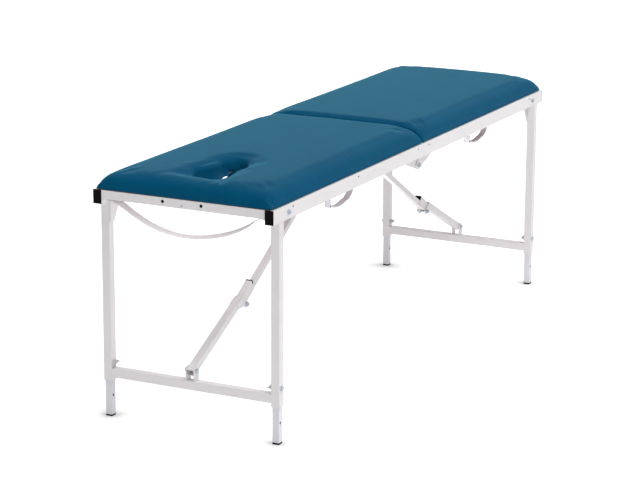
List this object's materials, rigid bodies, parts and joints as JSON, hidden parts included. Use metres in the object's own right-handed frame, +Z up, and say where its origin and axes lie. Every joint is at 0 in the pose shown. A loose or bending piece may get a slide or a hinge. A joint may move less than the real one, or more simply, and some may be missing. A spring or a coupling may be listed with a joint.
{
  "type": "treatment table",
  "caption": "Portable treatment table: padded vinyl top in hinged halves with a face hole, folding height-adjustable legs and locking braces.",
  "frame": {"origin": "on the floor under the middle of the table", "axes": "+Z up, +Y along the table from the head end to the foot end, +X towards the side with the handles"},
  "size_m": [0.57, 1.96, 0.721],
  "materials": {
    "vinyl": "soft satin vinyl with fine grain",
    "board": "brown hardboard",
    "frame_paint": "off-white powder coat",
    "inner_leg_paint": "pale grey powder coat",
    "black_plastic": "matt black moulding",
    "bolts": "zinc plated",
    "handle_plastic": "pale moulded plastic",
    "webbing": "pale woven webbing"
  },
  "bodies": {
    "head_section": {"head_left_rail": "frame_paint", "head_right_rail": "frame_paint", "head_end_crossbar": "frame_paint", "head_inner_crossbar": "frame_paint", "head_top_board": "board", "head_cushion": "vinyl", "head_rail_caps": "black_plastic", "head_hinge_plates": "frame_paint", "head_pivot_bolts": "bolts", "head_brace_bracket": "frame_paint", "head_carry_handle": "handle_plastic", "head_frame_screws": "bolts", "centre_hinge_bolts": "bolts", "head_webbing_strap": "webbing"},
    "head_leg_frame": {"head_left_leg": "frame_paint", "head_right_leg": "frame_paint", "head_leg_crossbar": "frame_paint", "head_leg_gussets": "frame_paint", "head_brace_clevis": "frame_paint", "head_leg_bolts": "bolts"},
    "head_brace_upper": {"head_brace_upper_tube": "frame_paint", "head_brace_saddle": "frame_paint", "head_brace_plug": "black_plastic", "head_elbow_bolt": "bolts"},
    "head_brace_lower": {"head_brace_lower_tube": "frame_paint"},
    "head_left_inner_leg": {"head_left_inner_leg": "inner_leg_paint", "head_left_foot": "black_plastic"},
    "head_left_wing_nut": {"head_left_wing_nut": "bolts"},
    "head_right_inner_leg": {"head_right_inner_leg": "inner_leg_paint", "head_right_foot": "black_plastic"},
    "head_right_wing_nut": {"head_right_wing_nut": "bolts"},
    "foot_section": {"foot_left_rail": "frame_paint", "foot_right_rail": "frame_paint", "foot_end_crossbar": "frame_paint", "foot_inner_crossbar": "frame_paint", "foot_top_board": "board", "foot_cushion": "vinyl", "foot_rail_caps": "black_plastic", "foot_hinge_plates": "frame_paint", "foot_pivot_bolts": "bolts", "foot_brace_bracket": "frame_paint", "foot_carry_handle": "handle_plastic", "foot_frame_screws": "bolts"},
    "foot_leg_frame": {"foot_left_leg": "frame_paint", "foot_right_leg": "frame_paint", "foot_leg_crossbar": "frame_paint", "foot_leg_gussets": "frame_paint", "foot_brace_clevis": "frame_paint", "foot_leg_bolts": "bolts"},
    "foot_brace_upper": {"foot_brace_upper_tube": "frame_paint", "foot_brace_saddle": "frame_paint", "foot_brace_plug": "black_plastic", "foot_elbow_bolt": "bolts"},
    "foot_brace_lower": {"foot_brace_lower_tube": "frame_paint"},
    "foot_left_inner_leg": {"foot_left_inner_leg": "inner_leg_paint", "foot_left_foot": "black_plastic"},
    "foot_left_wing_nut": {"foot_left_wing_nut": "bolts"},
    "foot_right_inner_leg": {"foot_right_inner_leg": "inner_leg_paint", "foot_right_foot": "black_plastic"},
    "foot_right_wing_nut": {"foot_right_wing_nut": "bolts"}
  },
  "joints": [
    {"name": "centre_fold", "type": "hinge", "parent": "head_section", "child": "foot_section", "pos_m": [0, 0, 0.5995], "axis": [-1, 0, 0], "range_deg": [0, 100]},
    {"name": "head_leg_fold", "type": "hinge", "parent": "head_section", "child": "head_leg_frame", "pos_m": [0, -0.8905, 0.648], "axis": [1, 0, 0], "range_deg": [0, 90]},
    {"name": "head_brace_top_pivot", "type": "hinge", "parent": "head_section", "child": "head_brace_upper", "pos_m": [0, -0.072, 0.63], "axis": [1, 0, 0], "range_deg": [-31.2, 0]},
    {"name": "head_brace_elbow", "type": "hinge", "parent": "head_brace_upper", "child": "head_brace_lower", "pos_m": [0, -0.63441, 0.28975], "axis": [1, 0, 0], "range_deg": [0, 185.7]},
    {"name": "head_left_height_slide", "type": "slide", "parent": "head_leg_frame", "child": "head_left_inner_leg", "axis": [0, 0, 1], "range_m": [-0.1, 0.05]},
    {"name": "head_left_wing_nut_turn", "type": "hinge", "parent": "head_leg_frame", "child": "head_left_wing_nut", "pos_m": [-0.25, -0.929, 0.161], "axis": [1, 0, 0], "continuous": true},
    {"name": "head_right_height_slide", "type": "slide", "parent": "head_leg_frame", "child": "head_right_inner_leg", "axis": [0, 0, 1], "range_m": [-0.1, 0.05]},
    {"name": "head_right_wing_nut_turn", "type": "hinge", "parent": "head_leg_frame", "child": "head_right_wing_nut", "pos_m": [0.25, -0.929, 0.161], "axis": [1, 0, 0], "continuous": true},
    {"name": "foot_leg_fold", "type": "hinge", "parent": "foot_section", "child": "foot_leg_frame", "pos_m": [0, 0.8905, 0.648], "axis": [-1, 0, 0], "range_deg": [0, 90]},
    {"name": "foot_brace_top_pivot", "type": "hinge", "parent": "foot_section", "child": "foot_brace_upper", "pos_m": [0, 0.072, 0.63], "axis": [-1, 0, 0], "range_deg": [-31.2, 0]},
    {"name": "foot_brace_elbow", "type": "hinge", "parent": "foot_brace_upper", "child": "foot_brace_lower", "pos_m": [0, 0.63441, 0.28975], "axis": [-1, 0, 0], "range_deg": [0, 185.7]},
    {"name": "foot_left_height_slide", "type": "slide", "parent": "foot_leg_frame", "child": "foot_left_inner_leg", "axis": [0, 0, 1], "range_m": [-0.1, 0.05]},
    {"name": "foot_left_wing_nut_turn", "type": "hinge", "parent": "foot_leg_frame", "child": "foot_left_wing_nut", "pos_m": [-0.25, 0.929, 0.161], "axis": [1, 0, 0], "continuous": true},
    {"name": "foot_right_height_slide", "type": "slide", "parent": "foot_leg_frame", "child": "foot_right_inner_leg", "axis": [0, 0, 1], "range_m": [-0.1, 0.05]},
    {"name": "foot_right_wing_nut_turn", "type": "hinge", "parent": "foot_leg_frame", "child": "foot_right_wing_nut", "pos_m": [0.25, 0.929, 0.161], "axis": [1, 0, 0], "continuous": true}
  ],
  "couplings": [
    {"joint": "head_brace_top_pivot", "follows": "head_leg_fold", "ratio": -0.34632},
    {"joint": "head_brace_elbow", "follows": "head_leg_fold", "ratio": 2.063},
    {"joint": "foot_brace_top_pivot", "follows": "foot_leg_fold", "ratio": -0.34632},
    {"joint": "foot_brace_elbow", "follows": "foot_leg_fold", "ratio": 2.063}
  ]
}
